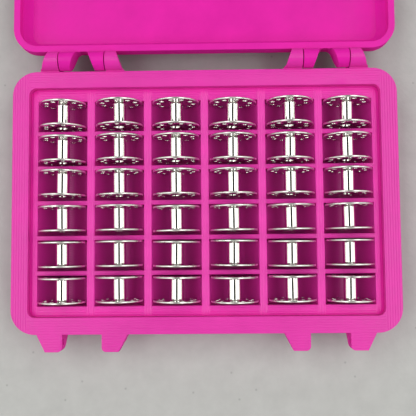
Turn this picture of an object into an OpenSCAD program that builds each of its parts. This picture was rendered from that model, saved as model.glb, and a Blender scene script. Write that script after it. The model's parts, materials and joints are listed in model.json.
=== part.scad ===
// Hinged bobbin case, shown open on a table.
// A thick-walled printed base holds a drop-in tray of round-bottomed pockets, one metal bobbin in each.
// The shallow lid lies open behind it, held almost level by stops on the two split hinges. Two swinging
// latches hang from ears on the lid's front and clip into ears on the base.
// Frame: origin at the centre of the base's underside, +X to the right, +Y toward the hinges, +Z up.
// "Out" is measured away from a case wall, and "split" is the plane midway between the two closed rims.

/* [Bobbin] */
// Diameter of a bobbin's flanges
bobbin_d = 20.6; // [18:0.1:24]
// Length over both flanges
bobbin_len = 11.1; // [9:0.1:13]
// Thickness of a flange
flange_t = 0.8; // [0.6:0.1:1.2]
// Bevel on both edges of a flange
flange_edge = 0.2; // [0.1:0.05:0.25]
// Outside diameter of the hub tube
hub_d = 5.8; // [5.6:0.1:8]
// Bore through the hub
bobbin_bore = 5; // [4.4:0.1:5.2]
// Height and width of the flare where the hub meets a flange
hub_flare = 0.7; // [0.3:0.1:1.2]
// Holes round each flange
hole_count = 10; // [6:1:12]
// Diameter of a flange hole
hole_d = 2.1; // [1.5:0.1:2.4]
// Radius of the ring of flange holes
hole_ring = 7.6; // [6.6:0.1:7.8]

/* [Tray] */
// Pockets from left to right
columns = 6; // [4:1:6]
// Pockets from back to front
rows = 6; // [2:1:6]
// Room beside a bobbin in its pocket
pocket_side = 0.5; // [0.4:0.05:1.5]
// Room at each end of a bobbin in its pocket
pocket_end = 1.1; // [1:0.05:2]
// Wall between two pockets side by side
column_wall = 3.4; // [2:0.1:6]
// Wall between two pockets end to end
row_wall = 2; // [1.2:0.1:4]
// Tray edge to the left and right of the pockets
tray_edge_x = 3.15; // [1.5:0.05:8]
// Tray edge behind the pockets
tray_edge_back = 5.35; // [1.5:0.05:8]
// Tray edge in front of the pockets
tray_edge_front = 4.35; // [1.5:0.05:8]
// Bobbin axis below the tray's top
bobbin_sunk = 0.5; // [0:0.1:6]
// Gap under a bobbin
bobbin_gap = 0.3; // [0.2:0.05:0.4]
// Floor under the pockets
tray_floor = 1.2; // [0.8:0.1:3]
// Gap all round the tray
tray_gap = 0.2; // [0.15:0.05:0.5]
// Largest turn of a bobbin from square in its pocket, in degrees
bobbin_yaw = 0.6; // [0:0.1:1.5]
// Least gap between a flange and the end of its pocket
flange_gap = 0.2; // [0.15:0.05:0.4]
// Mean shift of the bobbins toward the hinges, as a share of the room they have
back_share = 0.65; // [0:0.05:1]

/* [Base] */
// Width of the rim
rim_w = 7.2; // [6:0.1:12]
// Rim above the tray's top
rim_step = 3; // [2:0.1:6]
// Floor under the tray
base_floor = 1.6; // [1.2:0.1:4]
// Outer corner radius in plan
corner_r = 10.5; // [8:0.1:14]
// Corner radius of the well that the tray drops into
well_r = 3.2; // [2:0.1:5]
// Bevel round the underside
base_bevel = 4; // [2:0.1:6]

/* [Lid] */
// Wall at the lid's rim
lid_wall = 2.75; // [2:0.05:4]
// Height of the lid
lid_h = 10.6; // [10.4:0.1:14]
// Bevel round the lid's top
lid_bevel = 5.4; // [4:0.1:7]
// Upright part of the wall inside
lid_lip = 4.5; // [3:0.1:5]
// Bevel between that wall and the lid's ceiling
lid_inner_bevel = 3.5; // [2:0.1:4]
// Gap between the closed rims
lid_gap = 0.3; // [0.2:0.05:0.5]
// Angle past flat at which the open lid meets the hinges' stops, in degrees
lid_sag = 0.8; // [0:0.1:2]

/* [Hinges] */
// Middle of a hinge in from the case's end
hinge_in = 30.65; // [28:0.05:33]
// Hinge axis out from the wall
hinge_out = 4.5; // [4.5:0.1:6]
// Radius of a knuckle
knuckle_r = 4.2; // [3.4:0.1:4.2]
// Width of a knuckle at the wall
knuckle_root = 7.4; // [6:0.1:8.4]
// Width of a knuckle at its end
knuckle_tip = 4.3; // [3.5:0.1:6]
// Slanted foot of a knuckle's tapered side
knuckle_foot = 1.1; // [0.4:0.1:2]
// Plane where a base knuckle meets a lid knuckle, from the hinge's centre
knuckle_plane = 10; // [9.8:0.1:12]
// Gap between the two
knuckle_gap = 0.45; // [0.3:0.05:0.8]
// Diameter of a hinge pin
hinge_pin_d = 3; // [2:0.1:4]
// Radial gap of a pin in a knuckle or latch that turns on it
run_gap = 0.05; // [0.02:0.01:0.1]
// Radial gap of a pin or hub in the hole that holds it
seat_gap = 0.02; // [0.01:0.01:0.05]
// Pin end below the face that its hole opens in
pin_recess = 0.6; // [0.4:0.1:1.5]
// Wall that closes a hinge pin's hole in a lid knuckle, measured on the axis
pin_wall = 1.7; // [1.2:0.1:2.5]
// Height of the flat stop on a base knuckle
stop_h = 2; // [1:0.1:3]
// Gap between that stop and the open lid
stop_gap = 0.1; // [0.05:0.05:0.3]

/* [Latches] */
// Middle of a latch in from the case's end
latch_in = 30.75; // [28:0.05:33]
// Gap between the two ears of a pair
ear_gap = 17; // [12:0.1:20]
// Width of an ear at the wall
ear_root = 11; // [9:0.1:13]
// Width of an ear at its end
ear_tip = 7.3; // [6:0.1:9]
// Reach of a base ear
ear_out = 7.4; // [6:0.1:9]
// Height of a base ear's front face
ear_face = 5; // [4.5:0.1:7]
// Round on a base ear's inner corner
ear_round = 2; // [1:0.1:3]
// Latch pin and dimple out from the wall
latch_out = 3.3; // [3.3:0.1:4]
// Latch pin above the lid's rim
latch_up = 3.2; // [3.1:0.1:3.5]
// Diameter of a latch pin
latch_pin_d = 3; // [2:0.1:3.2]
// Radius of a lid ear and of the latch's barrel round the pin
lid_ear_r = 3; // [2.4:0.1:3]
// Gap on each side of a latch
latch_gap = 0.3; // [0.2:0.05:0.5]
// Thickness of a latch
latch_t = 3.2; // [2.6:0.1:4]
// Upright part of a latch below its pin
latch_drop = 8; // [7.8:0.1:11]
// Reach of the finger tab
tab_out = 3.6; // [2:0.1:6]
// End face of the finger tab
tab_lip = 3.4; // [3.2:0.1:5]
// Diameter of a dimple in a base ear
dimple_d = 3.2; // [2.8:0.1:3.6]
// Depth of a dimple
dimple_deep = 3.5; // [2:0.1:5]
// Dimple below the base's rim
dimple_down = 2.6; // [2.4:0.1:3]
// Gap between a latch's nub and its dimple
nub_gap = 0.3; // [0.2:0.05:0.5]
// Length of a nub
nub_out = 1.1; // [0.8:0.1:1.6]
// Nub's radius at its tip as a share of that at its root
nub_taper = 0.6; // [0.4:0.05:0.9]
// Gap between the finger tab of an open latch and the table
table_gap = 0.05; // [0.02:0.01:0.2]

/* [Hidden] */
$fn = 96;
// Depth by which fused pieces run into each other, and cuts run past a face
fuse = 1;

pocket_r = bobbin_d / 2 + pocket_side;
pocket_w = 2 * pocket_r;
pocket_l = bobbin_len + 2 * pocket_end;
pocket_deep = bobbin_sunk + bobbin_d / 2 + bobbin_gap;
column_pitch = pocket_w + column_wall;
row_pitch = pocket_l + row_wall;
tray_w = columns * column_pitch - column_wall + 2 * tray_edge_x;
tray_l = rows * row_pitch - row_wall + tray_edge_back + tray_edge_front;
tray_h = tray_floor + pocket_deep;

well_w = tray_w + 2 * tray_gap;
well_l = tray_l + 2 * tray_gap;
case_w = well_w + 2 * rim_w;
case_l = well_l + 2 * rim_w;
base_h = base_floor + tray_h + rim_step;
tray_top = base_floor + tray_h;

hinge_spacing = case_w - 2 * hinge_in;
latch_spacing = case_w - 2 * latch_in;

split_z = base_h + lid_gap / 2;
hinge_y = case_l / 2 + hinge_out;
lid_upright = lid_h - lid_bevel;
knuckle_len = hinge_out + knuckle_r;
knuckle_mid = knuckle_root - (knuckle_root - knuckle_tip) * hinge_out / knuckle_len;
pin_deep = knuckle_mid - pin_wall;
lid_ear_len = latch_out + lid_ear_r;
lid_ear_mid = ear_root - (ear_root - ear_tip) * latch_out / lid_ear_len;
latch_w = ear_gap - 2 * latch_gap;
latch_pin_y = -case_l / 2 - latch_out;
latch_pin_z = split_z + lid_gap / 2 + latch_up;
nub_drop = latch_up + lid_gap + dimple_down;
nub_r = dimple_d / 2 - nub_gap;

lid_open = 180 + lid_sag;

// Swing from clipped at which the finger tab of an open lid's latch meets the table or hangs above it
open_pin_z = split_z - (hinge_out + case_l + latch_out) * sin(lid_sag)
  - (lid_gap / 2 + latch_up) * cos(lid_sag);
tab_reach = latch_drop + tab_out + tab_lip;
tab_side = latch_t / 2 + tab_out;
latch_open = acos(max(-1, (table_gap - open_pin_z) / norm([tab_reach, tab_side])))
  - atan2(tab_side, tab_reach) - lid_sag;

magenta = "#e637ac";
magenta_tray = "#dd33a5";
nickel = "#c9c9c4";
steel = "#9a9da2";

sides = [-1, 1];
function cell_x(c) = (c - (columns + 1) / 2) * column_pitch;
function cell_y(r) = ((rows + 1) / 2 - r) * row_pitch + (tray_edge_front - tray_edge_back) / 2;
function cell_z() = tray_top - bobbin_sunk;
// Each bobbin lies a little differently: shares from -1 to 1 that look unordered along a row
function yaw_share(r, c) = ((r * 5 + c * 3 + r * c) % 7) / 3 - 1;
function shift_share(r, c) = ((r * 3 + c * 2 + r * c) % 5) / 2 - 1;
function bobbin_shift(r, c) = (pocket_end - flange_gap - bobbin_d / 2 * sin(bobbin_yaw))
  * (back_share + (1 - back_share) * shift_share(r, c));
function spin_share(r, c) = ((r * 7 + c * 11 + r * c * 3) % 10) / 10;

function bobbin_name(r, c) = str("bobbin_r", r, "c", c);
function side_name(word, side) = str(word, side < 0 ? "_left" : "_right");
function pin_name(hinge, end) = side_name(side_name("hinge_pin", hinge), end);

// Where a line from p touches the circle at c of radius r, on the left (1) or right (-1) of the way to c
function touch_point(p, c, r, hand) =
  let (way = c - p, d = norm(way), a = atan2(way[1], way[0]) + hand * asin(r / d))
  p + sqrt(d * d - r * r) * [cos(a), sin(a)];

module rounded_rect(w, l, r) {
  square([w - 2 * r, l], center = true);
  square([w, l - 2 * r], center = true);
  for (x = sides) for (y = sides) translate([x * (w / 2 - r), y * (l / 2 - r)]) circle(r);
}

// Extrudes a profile drawn in (out, up) along X, both ways from the middle
module along_x(len) {
  rotate([90, 0, 90]) translate([0, 0, -len / 2]) linear_extrude(len) children();
}

// Outline across a slab of height h whose last c is bevelled
module bevelled_side(l, h, c) {
  polygon([[-l / 2, 0], [l / 2, 0], [l / 2, h - c], [l / 2 - c, h], [c - l / 2, h], [-l / 2, h - c]]);
}

// A slab with corners of radius r whose last c is bevelled
module bevelled_slab(w, l, r, h, c) {
  along_x(w - 2 * r) bevelled_side(l, h, c);
  rotate([0, 0, 90]) along_x(l - 2 * r) bevelled_side(w, h, c);
  for (x = sides) for (y = sides) translate([x * (w / 2 - r), y * (l / 2 - r), 0])
    rotate_extrude() polygon([[0, 0], [r, 0], [r, h - c], [r - c, h], [0, h]]);
}

// These place a lug drawn with x along its wall, y out of it and z up from the split
module at_back(x, hand) {
  translate([x, case_l / 2, split_z]) mirror([hand < 0 ? 1 : 0, 0, 0]) children();
}

module at_front(x, hand) {
  translate([x, -case_l / 2, split_z]) mirror([0, 1, 0]) mirror([hand < 0 ? 1 : 0, 0, 0]) children();
}

// A lug whose plan is square on one side and tapers on the other, with a slanted foot at the taper.
// Its profile is its children
module tapered_lug(root, tip, len, height, foot = 0) {
  ankle = foot > 0 ? [[root - (root - tip) * foot / len, foot]] : [];
  intersection() {
    translate([0, 0, -height]) linear_extrude(2 * height)
      polygon(concat([[0, -fuse], [root + foot, -fuse], [root + foot, 0]], ankle, [[tip, len], [0, len]]));
    translate([root / 2, 0, 0]) along_x(root + 2 * (foot + fuse)) children();
  }
}

// Knuckle profiles: a barrel round the axis, carried by a web on its own side of the split
module knuckle_profile(web_h, up) {
  axis = [hinge_out, 0];
  foot = [0, up * web_h];
  translate(axis) circle(knuckle_r);
  polygon([[-fuse, up * lid_gap / 2], [hinge_out, up * lid_gap / 2], axis,
    touch_point(foot, axis, knuckle_r, up), foot, [-fuse, up * web_h]]);
}

// The flat end that the open lid's wall comes to rest on, square to the lid
module stop_profile() {
  reach = hinge_out - stop_gap;
  translate([hinge_out, 0]) rotate(-lid_sag)
    polygon([[0, 0], [reach, 0], [reach, -stop_h], [0, -0.9 * knuckle_r]]);
}

module base_knuckle() {
  translate([knuckle_plane + knuckle_gap / 2, 0, 0])
    tapered_lug(knuckle_root, knuckle_tip, 2 * hinge_out, base_h, knuckle_foot) {
      knuckle_profile(hinge_out + knuckle_r * sqrt(2), -1);
      stop_profile();
    }
}

module lid_knuckle() {
  translate([knuckle_plane - knuckle_gap / 2, 0, 0]) mirror([1, 0, 0])
    tapered_lug(knuckle_root, knuckle_tip, knuckle_len, lid_h, knuckle_foot)
      knuckle_profile(lid_upright, 1);
}

module pin_along_x(x, y, z, r, len) {
  translate([x, y, z]) rotate([0, 90, 0]) cylinder(h = len, r = r, center = true);
}

// A cylinder on the hinge axis between two distances beyond the plane where a pair of knuckles meets
module on_hinge_axis(hinge, end, r, inner, outer) {
  pin_along_x(hinge * hinge_spacing / 2 + end * (knuckle_plane + (inner + outer) / 2), hinge_y, split_z, r,
    outer - inner);
}

module hinge_bores(r, inner, outer) {
  for (hinge = sides) for (end = sides) on_hinge_axis(hinge, end, r, inner, outer);
}

module base_ear() {
  translate([ear_gap / 2, 0, -lid_gap / 2]) intersection() {
    translate([0, 0, -base_h]) linear_extrude(base_h) union() {
      polygon([[0, -fuse], [ear_root, -fuse], [ear_root, 0], [ear_tip, ear_out],
        [ear_round, ear_out], [0, ear_out - ear_round]]);
      translate([ear_round, ear_out - ear_round]) circle(ear_round);
    }
    translate([ear_root / 2, 0, 0]) along_x(ear_root + 2 * fuse)
      polygon([[-fuse, 0], [ear_out, 0], [ear_out, -ear_face], [0, -ear_face - ear_out],
        [-fuse, -ear_face - ear_out]]);
  }
}

module lid_ear() {
  pin = [latch_out, lid_gap / 2 + latch_up];
  foot = [0, lid_upright];
  translate([ear_gap / 2, 0, 0]) tapered_lug(ear_root, ear_tip, lid_ear_len, lid_h) {
    union() {
      translate(pin) circle(lid_ear_r);
      polygon([[-fuse, lid_gap / 2], [latch_out, pin[1] - lid_ear_r], pin,
        touch_point(foot, pin, lid_ear_r, 1), foot, [-fuse, foot[1]]]);
    }
  }
}

module base_case() {
  color(magenta) difference() {
    union() {
      translate([0, 0, base_h]) mirror([0, 0, 1])
        bevelled_slab(case_w, case_l, corner_r, base_h, base_bevel);
      for (x = sides) for (hand = sides) {
        at_back(x * hinge_spacing / 2, hand) base_knuckle();
        at_front(x * latch_spacing / 2, hand) base_ear();
      }
    }
    translate([0, 0, base_floor]) linear_extrude(base_h) rounded_rect(well_w, well_l, well_r);
    hinge_bores(hinge_pin_d / 2 + seat_gap, 0, knuckle_gap / 2 + knuckle_root + fuse);
    for (x = sides)
      pin_along_x(x * latch_spacing / 2, -case_l / 2 - latch_out, base_h - dimple_down, dimple_d / 2,
        ear_gap + 2 * dimple_deep);
  }
}

// A pocket is round below its own axis and straight-sided above it
module pocket() {
  rotate([90, 0, 0]) linear_extrude(pocket_l, center = true) union() {
    translate([0, pocket_r - pocket_deep]) circle(pocket_r);
    translate([-pocket_r, pocket_r - pocket_deep]) square([pocket_w, pocket_deep]);
  }
}

module bobbin_tray() {
  color(magenta_tray) translate([0, 0, base_floor]) difference() {
    linear_extrude(tray_h) rounded_rect(tray_w, tray_l, well_r - tray_gap);
    for (r = [1:rows]) for (c = [1:columns]) translate([cell_x(c), cell_y(r), tray_h]) pocket();
  }
}

// The lid and its latches are drawn closed, then turned about the hinge axis
module opened() {
  translate([0, hinge_y, split_z]) rotate([-lid_open, 0, 0]) translate([0, -hinge_y, -split_z]) children();
}

module lid() {
  color(magenta) opened() difference() {
    union() {
      translate([0, 0, split_z + lid_gap / 2]) difference() {
        bevelled_slab(case_w, case_l, corner_r, lid_h, lid_bevel);
        translate([0, 0, -fuse])
          bevelled_slab(case_w - 2 * lid_wall, case_l - 2 * lid_wall, corner_r - lid_wall,
            fuse + lid_lip + lid_inner_bevel, lid_inner_bevel);
      }
      for (x = sides) for (hand = sides) {
        at_back(x * hinge_spacing / 2, hand) lid_knuckle();
        at_front(x * latch_spacing / 2, hand) lid_ear();
      }
    }
    hinge_bores(hinge_pin_d / 2 + run_gap, -knuckle_gap / 2 - pin_deep, 0);
    for (x = sides)
      pin_along_x(x * latch_spacing / 2, latch_pin_y, latch_pin_z, latch_pin_d / 2 + seat_gap,
        ear_gap + 2 * (ear_root + fuse));
  }
}

// Pushed in from outside: fixed in the base knuckle, and short of the blind end of the lid knuckle's hole
module hinge_pin(hinge, end) {
  color(steel) on_hinge_axis(hinge, end, hinge_pin_d / 2, knuckle_gap / 2 - pin_deep,
    knuckle_gap / 2 + knuckle_mid - pin_recess);
}

module latch_pin(side) {
  color(steel) opened() pin_along_x(side * latch_spacing / 2, latch_pin_y, latch_pin_z, latch_pin_d / 2,
    ear_gap + 2 * (lid_ear_mid - pin_recess));
}

// Drawn clipped, with the pin's axis on X, the wall behind at -Y and the latch hanging down
module clipped_latch() {
  difference() {
    along_x(latch_w) union() {
      circle(lid_ear_r);
      polygon([[-latch_t / 2, 0], [latch_t / 2, 0], [latch_t / 2, -latch_drop],
        [tab_side, -latch_drop - tab_out], [tab_side, -tab_reach],
        [-latch_t / 2, latch_t - latch_drop - tab_lip]]);
    }
    pin_along_x(0, 0, 0, latch_pin_d / 2 + run_gap, latch_w + 2 * fuse);
  }
  for (hand = sides) translate([hand * latch_w / 2, 0, -nub_drop]) rotate([0, hand * 90, 0])
    cylinder(h = nub_out, r1 = nub_r, r2 = nub_r * nub_taper);
}

module latch(side) {
  color(magenta) opened() translate([side * latch_spacing / 2, latch_pin_y, latch_pin_z])
    rotate([-latch_open, 0, 0]) mirror([0, 1, 0]) clipped_latch();
}

// A pressed disc, drawn with its outer face on z = 0 and the collar round its centre hole pointing up
module flange() {
  eye_r = hub_d / 2 + seat_gap;
  rim_r = bobbin_d / 2;
  difference() {
    rotate_extrude() polygon([[eye_r, 0], [rim_r - flange_edge, 0], [rim_r, flange_edge],
      [rim_r, flange_t - flange_edge], [rim_r - flange_edge, flange_t], [eye_r + hub_flare, flange_t],
      [eye_r, flange_t + hub_flare]]);
    for (k = [0:hole_count - 1]) rotate([0, 0, 360 * k / hole_count]) translate([hole_ring, 0, -fuse])
      cylinder(h = flange_t + 2 * fuse, d = hole_d);
  }
}

// Drawn with the hub upright: a tube that holds a flange on each end
module upright_bobbin() {
  difference() {
    cylinder(h = bobbin_len, d = hub_d, center = true);
    cylinder(h = bobbin_len + 2 * fuse, d = bobbin_bore, center = true);
  }
  for (end = [0, 1]) mirror([0, 0, end]) translate([0, 0, -bobbin_len / 2]) flange();
}

module bobbin(r, c) {
  color(nickel) translate([cell_x(c), cell_y(r) + bobbin_shift(r, c), cell_z()])
    rotate([0, 0, bobbin_yaw * yaw_share(r, c)]) rotate([90, 0, 0])
    rotate([0, 0, 360 / hole_count * spin_share(r, c)]) upright_bobbin();
}

base_case();
bobbin_tray();
lid();
for (hinge = sides) for (end = sides)
  hinge_pin(hinge, end);
for (side = sides) latch(side);
for (side = sides) latch_pin(side);
for (r = [1:rows]) for (c = [1:columns])
  bobbin(r, c);
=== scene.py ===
# Open bobbin case: printed magenta shells, a pocket tray and pierced nickel bobbins on a pale table
import bpy
import bmesh
import json
import math
from mathutils import Matrix, Vector

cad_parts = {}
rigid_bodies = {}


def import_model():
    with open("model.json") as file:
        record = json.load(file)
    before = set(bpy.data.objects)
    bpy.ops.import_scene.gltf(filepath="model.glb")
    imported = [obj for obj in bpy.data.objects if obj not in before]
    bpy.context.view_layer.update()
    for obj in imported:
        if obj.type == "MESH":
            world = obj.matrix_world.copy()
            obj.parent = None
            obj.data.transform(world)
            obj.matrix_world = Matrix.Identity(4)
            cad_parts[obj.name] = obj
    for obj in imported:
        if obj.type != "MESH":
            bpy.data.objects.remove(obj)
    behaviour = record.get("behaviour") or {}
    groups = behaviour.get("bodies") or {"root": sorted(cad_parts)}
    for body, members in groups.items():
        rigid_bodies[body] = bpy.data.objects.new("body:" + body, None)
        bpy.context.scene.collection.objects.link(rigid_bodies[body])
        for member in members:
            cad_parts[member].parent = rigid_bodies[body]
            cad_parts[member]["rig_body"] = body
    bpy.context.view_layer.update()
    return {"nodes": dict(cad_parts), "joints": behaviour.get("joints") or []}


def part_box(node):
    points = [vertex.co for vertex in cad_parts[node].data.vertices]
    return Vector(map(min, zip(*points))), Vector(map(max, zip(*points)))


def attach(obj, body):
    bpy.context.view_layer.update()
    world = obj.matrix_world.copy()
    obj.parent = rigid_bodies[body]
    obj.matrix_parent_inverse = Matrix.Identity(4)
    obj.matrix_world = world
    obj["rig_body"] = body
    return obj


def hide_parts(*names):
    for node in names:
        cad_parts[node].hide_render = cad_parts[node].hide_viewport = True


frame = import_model()
nodes = frame["nodes"]
joints = {joint["name"]: joint for joint in frame["joints"]}
mm = 0.001
weldWithin = 0.001 * mm
flatWithin = math.radians(0.5)
# Edges that turn by more than this many degrees are shaded as creases. "hole" is where holes are softened
crease = {"shell": 35, "tray": 40, "bobbin": 50, "hole": 60}
print("frame loaded,", len(nodes), "nodes")


# sRGB hex to linear
def hexColour(text):
    parts = [int(text[i:i + 2], 16) / 255 for i in (1, 3, 5)]
    linear = [p / 12.92 if p <= 0.04045 else ((p + 0.055) / 1.055) ** 2.4 for p in parts]
    return (*linear, 1.0)


# One node with its settings, its input values and its links
def addNode(tree, kind, inputs=None, **settings):
    node = tree.nodes.new(kind)
    for key, value in settings.items():
        setattr(node, key, value)
    for key, value in (inputs or {}).items():
        socket = node.inputs[key]
        if isinstance(value, bpy.types.NodeSocket):
            tree.links.new(value, socket)
        else:
            socket.default_value = value
    return node


def newMaterial(name):
    material = bpy.data.materials.new(name)
    material.use_nodes = True
    return material, material.node_tree, material.node_tree.nodes["Principled BSDF"]


# A wave texture repeats every pi / 10 units of its scaled coordinate
def waveScale(spacing):
    return math.pi / 10 / spacing


printLines = {
    "layer": 0.28 * mm,  # real layers are about 0.2, drawn coarser so that they show on the knuckles
    "layerDepth": 0.05 * mm,
    "topLine": 1.1 * mm,  # real top lines are about 0.4 wide, drawn coarser so that they show
    "topDepth": 0.1 * mm,
    "fillDepth": 0.02 * mm,
    "waver": 0.05,  # how fast the lines' waver changes along them, against across them
    "endsFrom": 76.65 * mm,  # where the case's end rims begin, from the middle
    "pocketPitch": 25 * mm,
    "pocketWall": 3.8 * mm,
}


# 1 where the top lines run from front to back: on the case's end rims
def besideEnds(tree, across):
    out = addNode(tree, "ShaderNodeMath", {0: across}, operation="ABSOLUTE")
    return addNode(tree, "ShaderNodeMath", {0: out.outputs[0], 1: printLines["endsFrom"]},
                   operation="GREATER_THAN").outputs[0]


# The same for the tray: on the walls between its columns of pockets
def besidePockets(tree, across):
    off = addNode(tree, "ShaderNodeMath", {0: across, 1: printLines["pocketPitch"] / 2}, operation="PINGPONG")
    return addNode(tree, "ShaderNodeMath", {0: off.outputs[0], 1: printLines["pocketWall"] / 2},
                   operation="LESS_THAN").outputs[0]


# PLA laid down in layers: satin on tops and duller on slopes, with fine level lines on slopes. The lines on
# flat tops follow the walls if sideWalls says where, or else slant. pocketShade darkens the colour with depth
# and needs sideWalls
def printedPla(name, colour, sheen, tilt=0.0, sideWalls=None, pocketShade=None):
    material, tree, shader = newMaterial(name)
    coord = addNode(tree, "ShaderNodeTexCoord")
    place = addNode(tree, "ShaderNodeMapping", {"Vector": coord.outputs["Object"], "Rotation": (tilt, 0, 0)})
    facing = addNode(tree, "ShaderNodeMapping", {"Vector": coord.outputs["Normal"], "Rotation": (tilt, 0, 0)},
                     vector_type="VECTOR")
    upright = addNode(tree, "ShaderNodeSeparateXYZ", {0: facing.outputs[0]})
    layers = addNode(tree, "ShaderNodeTexWave", {
        "Vector": place.outputs[0], "Scale": waveScale(printLines["layer"]), "Distortion": 0.6,
        "Detail": 1.0, "Detail Scale": 0.02}, bands_direction="Z")
    if sideWalls:
        spot = addNode(tree, "ShaderNodeSeparateXYZ", {0: place.outputs[0]})
        beside = sideWalls(tree, spot.outputs["X"])
        across = addNode(tree, "ShaderNodeMix", {0: beside, 2: spot.outputs["Y"], 3: spot.outputs["X"]})
        along = addNode(tree, "ShaderNodeMix", {0: beside, 2: spot.outputs["X"], 3: spot.outputs["Y"]})
        slow = addNode(tree, "ShaderNodeMath", {0: along.outputs[0], 1: printLines["waver"]},
                       operation="MULTIPLY")
        topSpot = addNode(tree, "ShaderNodeCombineXYZ", {"X": across.outputs[0], "Y": slow.outputs[0]})
    else:
        topSpot = addNode(tree, "ShaderNodeMapping", {
            "Vector": place.outputs[0], "Rotation": (0, 0, math.radians(45))})
    topLines = addNode(tree, "ShaderNodeTexWave", {
        "Vector": topSpot.outputs[0], "Scale": waveScale(printLines["topLine"]), "Distortion": 0.8,
        "Detail": 1.0, "Detail Scale": 0.03}, bands_direction="X")
    isTop = addNode(tree, "ShaderNodeMapRange", {
        "Value": upright.outputs["Z"], "From Min": 0.985, "From Max": 0.999})
    topShare = addNode(tree, "ShaderNodeMath", {0: topLines.outputs["Fac"], 1: isTop.outputs[0]},
                       operation="MULTIPLY")
    blotch = addNode(tree, "ShaderNodeTexNoise", {
        "Vector": place.outputs[0], "Scale": 1 / (14 * mm), "Detail": 3.0, "Roughness": 0.55})
    shade = addNode(tree, "ShaderNodeMapRange", {
        "Value": blotch.outputs["Fac"], "From Min": 0.3, "From Max": 0.7, "To Min": 0.94, "To Max": 1.04})
    if pocketShade:
        depth = addNode(tree, "ShaderNodeMapRange", {
            "Value": spot.outputs["Z"], "From Min": pocketShade["low"], "From Max": pocketShade["high"],
            "To Min": pocketShade["left"], "To Max": 1.0})
        shade = addNode(tree, "ShaderNodeMath", {0: shade.outputs[0], 1: depth.outputs[0]},
                        operation="MULTIPLY")
    tint = addNode(tree, "ShaderNodeMix", {0: 1.0, 6: hexColour(colour), 7: shade.outputs[0]},
                   data_type="RGBA", blend_type="MULTIPLY")
    gloss = addNode(tree, "ShaderNodeMapRange", {
        "Value": blotch.outputs["Fac"], "From Min": 0.3, "From Max": 0.7, "To Min": 0.40, "To Max": 0.52})
    dull = addNode(tree, "ShaderNodeMapRange", {
        "Value": upright.outputs["Z"], "From Min": 0.95, "From Max": 0.995, "To Min": 0.4, "To Max": 0.0})
    satin = addNode(tree, "ShaderNodeMath", {0: gloss.outputs[0], 1: dull.outputs[0]}, operation="ADD")
    topBump = addNode(tree, "ShaderNodeBump", {
        "Height": topShare.outputs[0], "Strength": 1.0,
        "Distance": printLines["topDepth" if sideWalls else "fillDepth"]})
    layerBump = addNode(tree, "ShaderNodeBump", {
        "Height": layers.outputs["Fac"], "Strength": 0.5, "Distance": printLines["layerDepth"],
        "Normal": topBump.outputs[0]})
    tree.links.new(tint.outputs[2], shader.inputs["Base Color"])
    tree.links.new(satin.outputs[0], shader.inputs["Roughness"])
    tree.links.new(layerBump.outputs[0], shader.inputs["Normal"])
    shader.inputs["IOR"].default_value = 1.46
    shader.inputs["Specular IOR Level"].default_value = sheen
    return material


# Nickel plate over pressed steel: a warm bright mirror with faint handling marks, duller on tumbled edges
def nickelPlate(name, sharpest, dullest):
    material, tree, shader = newMaterial(name)
    coord = addNode(tree, "ShaderNodeTexCoord")
    smear = addNode(tree, "ShaderNodeTexNoise", {
        "Vector": coord.outputs["Object"], "Scale": 1 / (5 * mm), "Detail": 4.0, "Roughness": 0.6})
    rough = addNode(tree, "ShaderNodeMapRange", {
        "Value": smear.outputs["Fac"], "From Min": 0.35, "From Max": 0.7,
        "To Min": sharpest, "To Max": dullest})
    dents = addNode(tree, "ShaderNodeTexNoise", {
        "Vector": coord.outputs["Object"], "Scale": 1 / (2.2 * mm), "Detail": 2.0})
    bump = addNode(tree, "ShaderNodeBump", {
        "Height": dents.outputs["Fac"], "Strength": 0.35, "Distance": 0.012 * mm})
    tree.links.new(rough.outputs[0], shader.inputs["Roughness"])
    tree.links.new(bump.outputs[0], shader.inputs["Normal"])
    shader.inputs["Base Color"].default_value = hexColour("#e4e3dd")
    shader.inputs["Metallic"].default_value = 1.0
    return material


# Drawn steel wire: grey, with fine lines along its length
def drawnSteel():
    material, tree, shader = newMaterial("drawnSteel")
    coord = addNode(tree, "ShaderNodeTexCoord")
    stretch = addNode(tree, "ShaderNodeMapping", {"Vector": coord.outputs["Object"], "Scale": (0.08, 1, 1)})
    lines = addNode(tree, "ShaderNodeTexNoise", {
        "Vector": stretch.outputs[0], "Scale": 1 / (0.25 * mm), "Detail": 2.0})
    rough = addNode(tree, "ShaderNodeMapRange", {
        "Value": lines.outputs["Fac"], "To Min": 0.22, "To Max": 0.42})
    tree.links.new(rough.outputs[0], shader.inputs["Roughness"])
    shader.inputs["Base Color"].default_value = hexColour("#a8aaad")
    shader.inputs["Metallic"].default_value = 1.0
    return material


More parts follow.
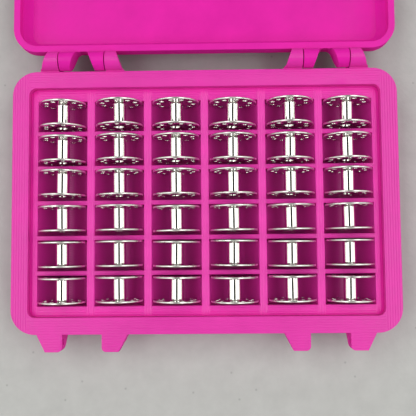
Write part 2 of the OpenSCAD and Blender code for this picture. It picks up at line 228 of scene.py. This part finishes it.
# Blow-moulded table top: grey, with a fine pebbled skin, faint clouding and a few dark specks
def tablePlastic():
    material, tree, shader = newMaterial("tablePlastic")
    coord = addNode(tree, "ShaderNodeTexCoord")
    pebbles = addNode(tree, "ShaderNodeTexNoise", {
        "Vector": coord.outputs["Object"], "Scale": 1 / (2.2 * mm), "Detail": 2.0})
    clouds = addNode(tree, "ShaderNodeTexNoise", {
        "Vector": coord.outputs["Object"], "Scale": 1 / (9 * mm), "Detail": 4.0, "Roughness": 0.6})
    shade = addNode(tree, "ShaderNodeMapRange", {
        "Value": clouds.outputs["Fac"], "From Min": 0.3, "From Max": 0.7, "To Min": 0.95, "To Max": 1.05})
    specks = addNode(tree, "ShaderNodeTexVoronoi", {
        "Vector": coord.outputs["Object"], "Scale": 1 / (22 * mm)}, voronoi_dimensions="2D")
    clear = addNode(tree, "ShaderNodeMapRange", {
        "Value": specks.outputs["Distance"], "From Min": 0.01, "From Max": 0.03,
        "To Min": 0.75, "To Max": 1.0})
    both = addNode(tree, "ShaderNodeMath", {0: shade.outputs[0], 1: clear.outputs[0]}, operation="MULTIPLY")
    tint = addNode(tree, "ShaderNodeMix", {0: 1.0, 6: hexColour("#b6b7b3"), 7: both.outputs[0]},
                   data_type="RGBA", blend_type="MULTIPLY")
    bump = addNode(tree, "ShaderNodeBump", {
        "Height": pebbles.outputs["Fac"], "Strength": 0.5, "Distance": 0.25 * mm})
    tree.links.new(tint.outputs[2], shader.inputs["Base Color"])
    tree.links.new(bump.outputs[0], shader.inputs["Normal"])
    shader.inputs["Roughness"].default_value = 0.6
    return material


# The lid lies past flat by what its range has beyond half a turn, so its layers are tilted by that
lidTilt = math.radians(-joints["lid_hinge"]["range_deg"][0] - 180)
magenta = "#e013a3"
trayMagenta = "#ee15ad"  # a little brighter, because the bobbins shade the tray
pocketShade = {"low": 3 * mm, "high": 13 * mm, "left": 0.6}  # share of the colour left at the low end
casePla = printedPla("magentaPla", magenta, sheen=0.85, sideWalls=besideEnds)
lidPla = printedPla("magentaPlaLid", magenta, sheen=0.3, tilt=lidTilt)
trayPla = printedPla("magentaPlaTray", trayMagenta, sheen=0.9, sideWalls=besidePockets,
                     pocketShade=pocketShade)
nickel = nickelPlate("nickelPlate", sharpest=0.04, dullest=0.1)
nickelEdge = nickelPlate("nickelPlateEdge", sharpest=0.26, dullest=0.36)
pinSteel = drawnSteel()
print("materials made")


def bodyOf(cadName):
    return nodes[cadName]["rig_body"]


# A mesh that already has its materials keeps them
def addPiece(name, mesh, *finishes):
    if finishes:
        mesh.materials.clear()
    for finish in finishes:
        mesh.materials.append(finish)
    piece = bpy.data.objects.new(name, mesh)
    bpy.context.scene.collection.objects.link(piece)
    return piece


def settle(piece, cadName):
    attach(piece, bodyOf(cadName))
    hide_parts(cadName)


def meshFrom(shape, name):
    mesh = bpy.data.meshes.new(name)
    shape.to_mesh(mesh)
    shape.free()
    return mesh


# A node tree with its named inputs, given as name: (socket type, value), set on a modifier of the object
def growNodes(piece, treeName, sockets, build):
    tree = bpy.data.node_groups.new(treeName, "GeometryNodeTree")
    tree.interface.new_socket("Geometry", in_out="INPUT", socket_type="NodeSocketGeometry")
    tree.interface.new_socket("Geometry", in_out="OUTPUT", socket_type="NodeSocketGeometry")
    identifiers = {}
    for name, (kind, value) in sockets.items():
        identifiers[name] = tree.interface.new_socket(name, in_out="INPUT", socket_type=kind).identifier
    asked = addNode(tree, "NodeGroupInput")
    result = build(tree, asked.outputs)
    addNode(tree, "NodeGroupOutput", {0: result})
    modifier = piece.modifiers.new(treeName, "NODES")
    modifier.node_group = tree
    for name, (kind, value) in sockets.items():
        modifier[identifiers[name]] = value


# The modifiers' result as a plain mesh
def bakedMesh(piece):
    graph = bpy.context.evaluated_depsgraph_get()
    graph.update()
    mesh = bpy.data.meshes.new_from_object(piece.evaluated_get(graph))
    piece.modifiers.clear()
    return mesh


def softenEdges(piece, width, angle):
    bevel = piece.modifiers.new("softEdge", "BEVEL")
    bevel.width = width
    bevel.segments = 2
    bevel.limit_method = "ANGLE"
    bevel.angle_limit = math.radians(angle)
    bevel.use_clamp_overlap = True
    bevel.harden_normals = True


shells = {
    "base_case": {"material": casePla, "slot": "case_plastic", "edge": 0.3 * mm},
    "lid": {"material": lidPla, "slot": "case_plastic", "edge": 0.3 * mm},
    "latch_left": {"material": lidPla, "slot": "case_plastic", "edge": 0.4 * mm},
    "latch_right": {"material": lidPla, "slot": "case_plastic", "edge": 0.4 * mm},
}


# Places inside the ears and knuckles, from the middle
shellCuts = (40.5 * mm, 45.5 * mm, 60.5 * mm, 65.5 * mm)


# Straight cuts through the ears and knuckles, so that no slanted edge is left across a wall, where it
# would pull the softened edge out of line
def cutStraight(shape):
    for place in shellCuts:
        for x in (-place, place):
            everything = shape.verts[:] + shape.edges[:] + shape.faces[:]
            cut = bmesh.ops.bisect_plane(shape, geom=everything, plane_co=(x, 0, 0), plane_no=(1, 0, 0))
            for part in cut["geom_cut"]:
                if isinstance(part, bmesh.types.BMEdge):
                    part.seam = True


# A welded copy of a rigid solid with softened edges, as a printed edge has
def makeShell(cadName, look):
    mesh = nodes[cadName].data.copy()
    shape = bmesh.new()
    shape.from_mesh(mesh)
    bmesh.ops.remove_doubles(shape, verts=shape.verts, dist=weldWithin)
    cutStraight(shape)
    bmesh.ops.dissolve_limit(shape, angle_limit=flatWithin, verts=shape.verts, edges=shape.edges,
                             delimit={"SEAM"})
    shape.to_mesh(mesh)
    shape.free()
    mesh.shade_smooth()
    mesh.set_sharp_from_angle(angle=math.radians(crease["shell"]))
    piece = addPiece(cadName + "_print", mesh, look["material"])
    softenEdges(piece, look["edge"], crease["shell"])
    settle(piece, cadName)


for shellName, shellLook in shells.items():
    makeShell(shellName, shellLook)
print("shells made")

tray = {
    "columns": 6, "rows": 6, "pitchX": 25 * mm, "pitchY": 15.3 * mm,
    "pocketX": 21.6 * mm, "pocketY": 13.3 * mm, "deep": 11.1 * mm,
    "shiftY": -0.5 * mm,  # middle of the pockets from the tray's
    "lip": 0.22 * mm, "lipSteps": 3, "floorSteps": 32,
    "grow": 0.15 * mm,  # the seam round the real tray can hardly be seen, so the gap is drawn narrower
    "corner": 3.15 * mm, "cornerSteps": 8, "edge": 0.12 * mm,
}


# One pocket with its share of the tray's top: a rounded lip, straight sides and a half-round floor
def pocketCell():
    shape = bmesh.new()
    halfX, halfY = tray["pocketX"] / 2, tray["pocketY"] / 2
    outer = [(tray["pitchX"] / 2, tray["pitchY"] / 2, 0)]
    for step in range(tray["lipSteps"] + 1):
        turn = math.pi / 2 * step / tray["lipSteps"]
        inset = tray["lip"] * (1 - math.sin(turn))
        outer.append((halfX + inset, halfY + inset, tray["lip"] * (math.cos(turn) - 1)))
    rings = [[shape.verts.new((sx * x, sy * y, z)) for sx, sy in ((-1, -1), (1, -1), (1, 1), (-1, 1))]
             for x, y, z in outer]
    for upper, lower in zip(rings, rings[1:]):
        for k in range(4):
            shape.faces.new((upper[k], upper[(k + 1) % 4], lower[(k + 1) % 4], lower[k]))
    profile = []
    for step in range(tray["floorSteps"] + 1):
        turn = math.pi * step / tray["floorSteps"]
        profile.append((-halfX * math.cos(turn), halfX - tray["deep"] - halfX * math.sin(turn)))
    corners = rings[-1]
    near = [corners[0]] + [shape.verts.new((x, -halfY, z)) for x, z in profile] + [corners[1]]
    far = [corners[3]] + [shape.verts.new((x, halfY, z)) for x, z in profile] + [corners[2]]
    for k in range(len(near) - 1):
        shape.faces.new((near[k], near[k + 1], far[k + 1], far[k]))
    shape.faces.new(near)
    shape.faces.new(far)
    return meshFrom(shape, "pocketCell")


# The tray's border, sides and underside, open where the pocket cells go, drawn about the pockets' middle
def trayBorder(width, length, height):
    shape = bmesh.new()

    def outline(inset, z):
        loop = []
        radius = tray["corner"] - inset
        for quarter, (sx, sy) in enumerate(((1, 1), (-1, 1), (-1, -1), (1, -1))):
            for step in range(tray["cornerSteps"] + 1):
                turn = math.pi / 2 * (quarter + step / tray["cornerSteps"])
                loop.append(shape.verts.new((
                    sx * (width / 2 - tray["corner"]) + radius * math.cos(turn),
                    sy * (length / 2 - tray["corner"]) + radius * math.sin(turn) - tray["shiftY"], z)))
        return loop

    loops = []
    for step in range(tray["lipSteps"] + 1):
        turn = math.pi / 2 * step / tray["lipSteps"]
        loops.append(outline(tray["edge"] * (1 - math.sin(turn)), tray["edge"] * (math.cos(turn) - 1)))
    loops.append(outline(0, -height))
    for upper, lower in zip(loops, loops[1:]):
        for k in range(len(upper)):
            n = (k + 1) % len(upper)
            shape.faces.new((upper[k], lower[k], lower[n], upper[n]))
    shape.faces.new(loops[-1])
    columns, rows = tray["columns"], tray["rows"]
    halfX, halfY = columns * tray["pitchX"] / 2, rows * tray["pitchY"] / 2
    around = [(-halfX + tray["pitchX"] * k, -halfY) for k in range(columns)]
    around += [(halfX, -halfY + tray["pitchY"] * k) for k in range(rows)]
    around += [(halfX - tray["pitchX"] * k, halfY) for k in range(columns)]
    around += [(-halfX, halfY - tray["pitchY"] * k) for k in range(rows)]
    inner = [shape.verts.new((x, y, 0)) for x, y in around]
    ends = [shape.edges.new((inner[k], inner[(k + 1) % len(inner)])) for k in range(len(inner))]
    ends += [shape.edges.get((loops[0][k], loops[0][(k + 1) % len(loops[0])])) for k in range(len(loops[0]))]
    bmesh.ops.triangle_fill(shape, edges=ends, use_beauty=True)
    return meshFrom(shape, "trayBorder")


def pocketGrid(tree, asked):
    grid = addNode(tree, "GeometryNodeMeshGrid", {
        "Size X": asked["Span X"], "Size Y": asked["Span Y"],
        "Vertices X": asked["Columns"], "Vertices Y": asked["Rows"]})
    cell = addNode(tree, "GeometryNodeObjectInfo", {"Object": asked["Cell"]})
    cells = addNode(tree, "GeometryNodeInstanceOnPoints", {
        "Points": grid.outputs["Mesh"], "Instance": cell.outputs["Geometry"]})
    both = addNode(tree, "GeometryNodeJoinGeometry", {0: asked["Geometry"]})
    tree.links.new(cells.outputs[0], both.inputs[0])
    solid = addNode(tree, "GeometryNodeRealizeInstances", {0: both.outputs[0]})
    welded = addNode(tree, "GeometryNodeMergeByDistance", {
        "Geometry": solid.outputs[0], "Distance": weldWithin})
    return addNode(tree, "GeometryNodeSetMaterial", {
        "Geometry": welded.outputs[0], "Material": asked["Plastic"]}).outputs[0]


def makeTray():
    low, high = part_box("bobbin_tray")
    cell = bpy.data.objects.new("pocketCell", pocketCell())
    width, length = (high[k] - low[k] + 2 * tray["grow"] for k in (0, 1))
    border = addPiece("trayBorder", trayBorder(width, length, high[2] - low[2]), trayPla)
    growNodes(border, "pocketGrid", {
        "Cell": ("NodeSocketObject", cell),
        "Columns": ("NodeSocketInt", tray["columns"]), "Rows": ("NodeSocketInt", tray["rows"]),
        "Span X": ("NodeSocketFloat", (tray["columns"] - 1) * tray["pitchX"]),
        "Span Y": ("NodeSocketFloat", (tray["rows"] - 1) * tray["pitchY"]),
        "Plastic": ("NodeSocketMaterial", trayPla)}, pocketGrid)
    mesh = bakedMesh(border)
    bpy.data.objects.remove(border)
    bpy.data.objects.remove(cell)
    mesh.transform(Matrix.Translation((0, tray["shiftY"], high[2])))
    shape = bmesh.new()
    shape.from_mesh(mesh)
    bmesh.ops.recalc_face_normals(shape, faces=shape.faces)
    shape.to_mesh(mesh)
    shape.free()
    mesh.shade_smooth()
    mesh.set_sharp_from_angle(angle=math.radians(crease["tray"]))
    settle(addPiece("bobbin_tray_print", mesh, trayPla), "bobbin_tray")


makeTray()
print("tray made")

bobbin = {
    "radius": 10.3 * mm, "length": 11.1 * mm, "flange": 0.8 * mm, "rimRound": 0.3 * mm,
    "hub": 2.9 * mm, "bore": 2.5 * mm, "flare": 0.7 * mm, "steps": 72, "rimSteps": 3, "flareSteps": 4,
    "holes": 10, "hole": 1.05 * mm, "holeRing": 7.6 * mm, "holeSides": 24, "holeEdge": 0.2 * mm,
}


# Half of the outline that is turned round the hub's axis, from the bore's end to the middle of the hub
def bobbinOutline():
    end, rim, rounding = bobbin["length"] / 2, bobbin["radius"], bobbin["rimRound"]
    under = end - bobbin["flange"]
    points = [(bobbin["bore"], 0), (bobbin["bore"], end)]
    for centreZ, first in ((end - rounding, 90), (under + rounding, 0)):
        for step in range(bobbin["rimSteps"] + 1):
            turn = math.radians(first - 90 / bobbin["rimSteps"] * step)
            points.append((rim - rounding + rounding * math.cos(turn), centreZ + rounding * math.sin(turn)))
    foot = bobbin["hub"] + bobbin["flare"]
    for step in range(bobbin["flareSteps"] + 1):
        turn = math.radians(90 + 90 / bobbin["flareSteps"] * step)
        points.append((foot + bobbin["flare"] * math.cos(turn),
                       under - bobbin["flare"] + bobbin["flare"] * math.sin(turn)))
    return points


def turnedBobbin():
    shape = bmesh.new()
    upper = bobbinOutline()
    loop = upper + [(r, -z) for r, z in reversed(upper) if z > 0]
    steps = bobbin["steps"]
    rings = []
    for step in range(steps):
        turn = 2 * math.pi * step / steps
        rings.append([shape.verts.new((r * math.cos(turn), r * math.sin(turn), z)) for r, z in loop])
    for step in range(steps):
        here, there = rings[step], rings[(step + 1) % steps]
        for k in range(len(loop)):
            n = (k + 1) % len(loop)
            shape.faces.new((here[k], here[n], there[n], there[k]))
    bmesh.ops.recalc_face_normals(shape, faces=shape.faces)
    return meshFrom(shape, "turnedBobbin")


def pierceFlanges(tree, asked):
    ring = addNode(tree, "GeometryNodeMeshCircle", {
        "Vertices": asked["Hole count"], "Radius": asked["Ring radius"]})
    punch = addNode(tree, "GeometryNodeMeshCylinder", {
        "Vertices": asked["Hole sides"], "Radius": asked["Hole radius"], "Depth": asked["Punch length"]})
    punches = addNode(tree, "GeometryNodeInstanceOnPoints", {
        "Points": ring.outputs[0], "Instance": punch.outputs[0]})
    cutters = addNode(tree, "GeometryNodeRealizeInstances", {0: punches.outputs[0]})
    pierced = addNode(tree, "GeometryNodeMeshBoolean", {
        0: asked["Geometry"], 1: cutters.outputs[0]}, operation="DIFFERENCE", solver="EXACT")
    solid = addNode(tree, "GeometryNodeRealizeInstances", {0: pierced.outputs[0]})
    return addNode(tree, "GeometryNodeSetMaterial", {
        "Geometry": solid.outputs[0], "Material": asked["Metal"]}).outputs[0]


def piercedBobbin():
    blank = addPiece("bobbinBlank", turnedBobbin(), nickel)
    growNodes(blank, "pierceFlanges", {
        "Hole count": ("NodeSocketInt", bobbin["holes"]),
        "Hole sides": ("NodeSocketInt", bobbin["holeSides"]),
        "Hole radius": ("NodeSocketFloat", bobbin["hole"]),
        "Ring radius": ("NodeSocketFloat", bobbin["holeRing"]),
        "Punch length": ("NodeSocketFloat", bobbin["length"] * 2),
        "Metal": ("NodeSocketMaterial", nickel)}, pierceFlanges)
    softenEdges(blank, bobbin["holeEdge"], crease["hole"])
    mesh = bakedMesh(blank)
    bpy.data.objects.remove(blank)
    mesh.materials.clear()
    mesh.materials.append(nickel)
    mesh.materials.append(nickelEdge)
    for face in mesh.polygons:
        if face.center.xy.length > bobbin["radius"] - bobbin["rimRound"]:
            face.material_index = 1
    mesh.shade_smooth()
    mesh.set_sharp_from_angle(angle=math.radians(crease["bobbin"]))
    return mesh


# A bobbin lies where its solid does, turned as far as the solid's flanges are. Its holes stand at one of
# ten turns, mixed from row and column so that neighbours differ
def bobbinPlace(cadName):
    mesh = nodes[cadName].data
    facing = Vector((0, 0, 0))
    for face in mesh.polygons:
        if face.normal.y > 0.95:
            facing += face.normal * face.area
    yaw = math.atan2(-facing.x, facing.y)
    row, column = int(cadName[8]), int(cadName[10])
    spin = 2 * math.pi / bobbin["holes"] * ((row * 7 + column * 11 + row * column * 3) % 10) / 10
    low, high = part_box(cadName)
    middle = (Vector(low) + Vector(high)) / 2
    return (Matrix.Translation(middle) @ Matrix.Rotation(yaw, 4, "Z") @ Matrix.Rotation(math.pi / 2, 4, "X")
            @ Matrix.Rotation(spin, 4, "Z"))


def makeBobbins():
    pattern = piercedBobbin()
    for cadName in sorted(nodes):
        if cadName.startswith("bobbin_r"):
            mesh = pattern.copy()
            mesh.transform(bobbinPlace(cadName))
            settle(addPiece(cadName + "_plated", mesh), cadName)


makeBobbins()
print("bobbins made")

for pinName in [name for name in nodes if "_pin_" in name]:
    nodes[pinName].data.materials.clear()
    nodes[pinName].data.materials.append(pinSteel)

view = {"lens": 53.65, "sensor": 36.0, "place": (5.66 * mm, -20.67 * mm, 283.75 * mm),
        "turn": (3.687, 0.963, -0.505)}


def makeCamera():
    data = bpy.data.cameras.new("photoView")
    data.lens = view["lens"]
    data.sensor_width = view["sensor"]
    data.clip_start = 0.01
    camera = bpy.data.objects.new("photoView", data)
    camera.location = view["place"]
    camera.rotation_euler = [math.radians(a) for a in view["turn"]]
    bpy.context.scene.collection.objects.link(camera)
    bpy.context.scene.camera = camera


table = {"half": 1.5, "drop": 0.2 * mm}


def makeTable():
    mesh = bpy.data.meshes.new("table")
    half = table["half"]
    square = ((-half, -half), (half, -half), (half, half), (-half, half))
    corners = [(x, y, -table["drop"]) for x, y in square]
    mesh.from_pydata(corners, [], [(0, 1, 2, 3)])
    addPiece("table", mesh, tablePlastic())


# Panels on both sides, from steep to low, which show as the white bands on each hub. Between the two sides
# is a dark strip, which draws the dark line down each hub. Dimmer panels stand in front and behind.
# Angles are from straight up. A pair stands left and right at turn 0, front and back at turn 90
softboxes = {
    "steep": {"from": 17, "to": 42, "turn": 0, "length": 1.6, "radiance": 2.6},
    "low": {"from": 42, "to": 80, "turn": 0, "length": 0.7, "radiance": 1.3},
    "end": {"from": 25, "to": 70, "turn": 90, "length": 1.2, "radiance": 0.2},
}
softboxAway = 1.05
# A pale wall all round, low down, under a dark ceiling
room = {"wall": "#c6c3c0", "ceiling": "#3f3f3f", "wallTop": 0.16, "ceilingFrom": 0.5}


def makeLights():
    for name, panel in softboxes.items():
        middle = math.radians((panel["from"] + panel["to"]) / 2)
        halfSpan = math.radians((panel["to"] - panel["from"]) / 2)
        for turn in (panel["turn"], panel["turn"] + 180):
            data = bpy.data.lights.new(name + "Softbox", "AREA")
            data.shape = "RECTANGLE"
            data.size = 2 * softboxAway * math.sin(halfSpan)
            data.size_y = panel["length"]
            data.energy = panel["radiance"] * math.pi * data.size * data.size_y
            lamp = bpy.data.objects.new(name + "Softbox", data)
            lamp.rotation_euler = (0, middle, math.radians(turn))
            toPanel = Vector((0, 0, softboxAway * math.cos(halfSpan)))
            lamp.location = lamp.rotation_euler.to_matrix() @ toPanel
            bpy.context.scene.collection.objects.link(lamp)
    world = bpy.data.worlds.new("room")
    world.use_nodes = True
    tree = world.node_tree
    toward = addNode(tree, "ShaderNodeTexCoord")
    height = addNode(tree, "ShaderNodeSeparateXYZ", {0: toward.outputs["Generated"]})
    upper = addNode(tree, "ShaderNodeMapRange", {
        "Value": height.outputs["Z"], "From Min": room["wallTop"], "From Max": room["ceilingFrom"]})
    shade = addNode(tree, "ShaderNodeMix", {
        0: upper.outputs[0], 6: hexColour(room["wall"]), 7: hexColour(room["ceiling"])}, data_type="RGBA")
    tree.links.new(shade.outputs[2], tree.nodes["Background"].inputs["Color"])
    bpy.context.scene.world = world


makeCamera()
makeTable()
makeLights()
bpy.context.scene.view_settings.view_transform = "Standard"
print("camera, table and lights made")
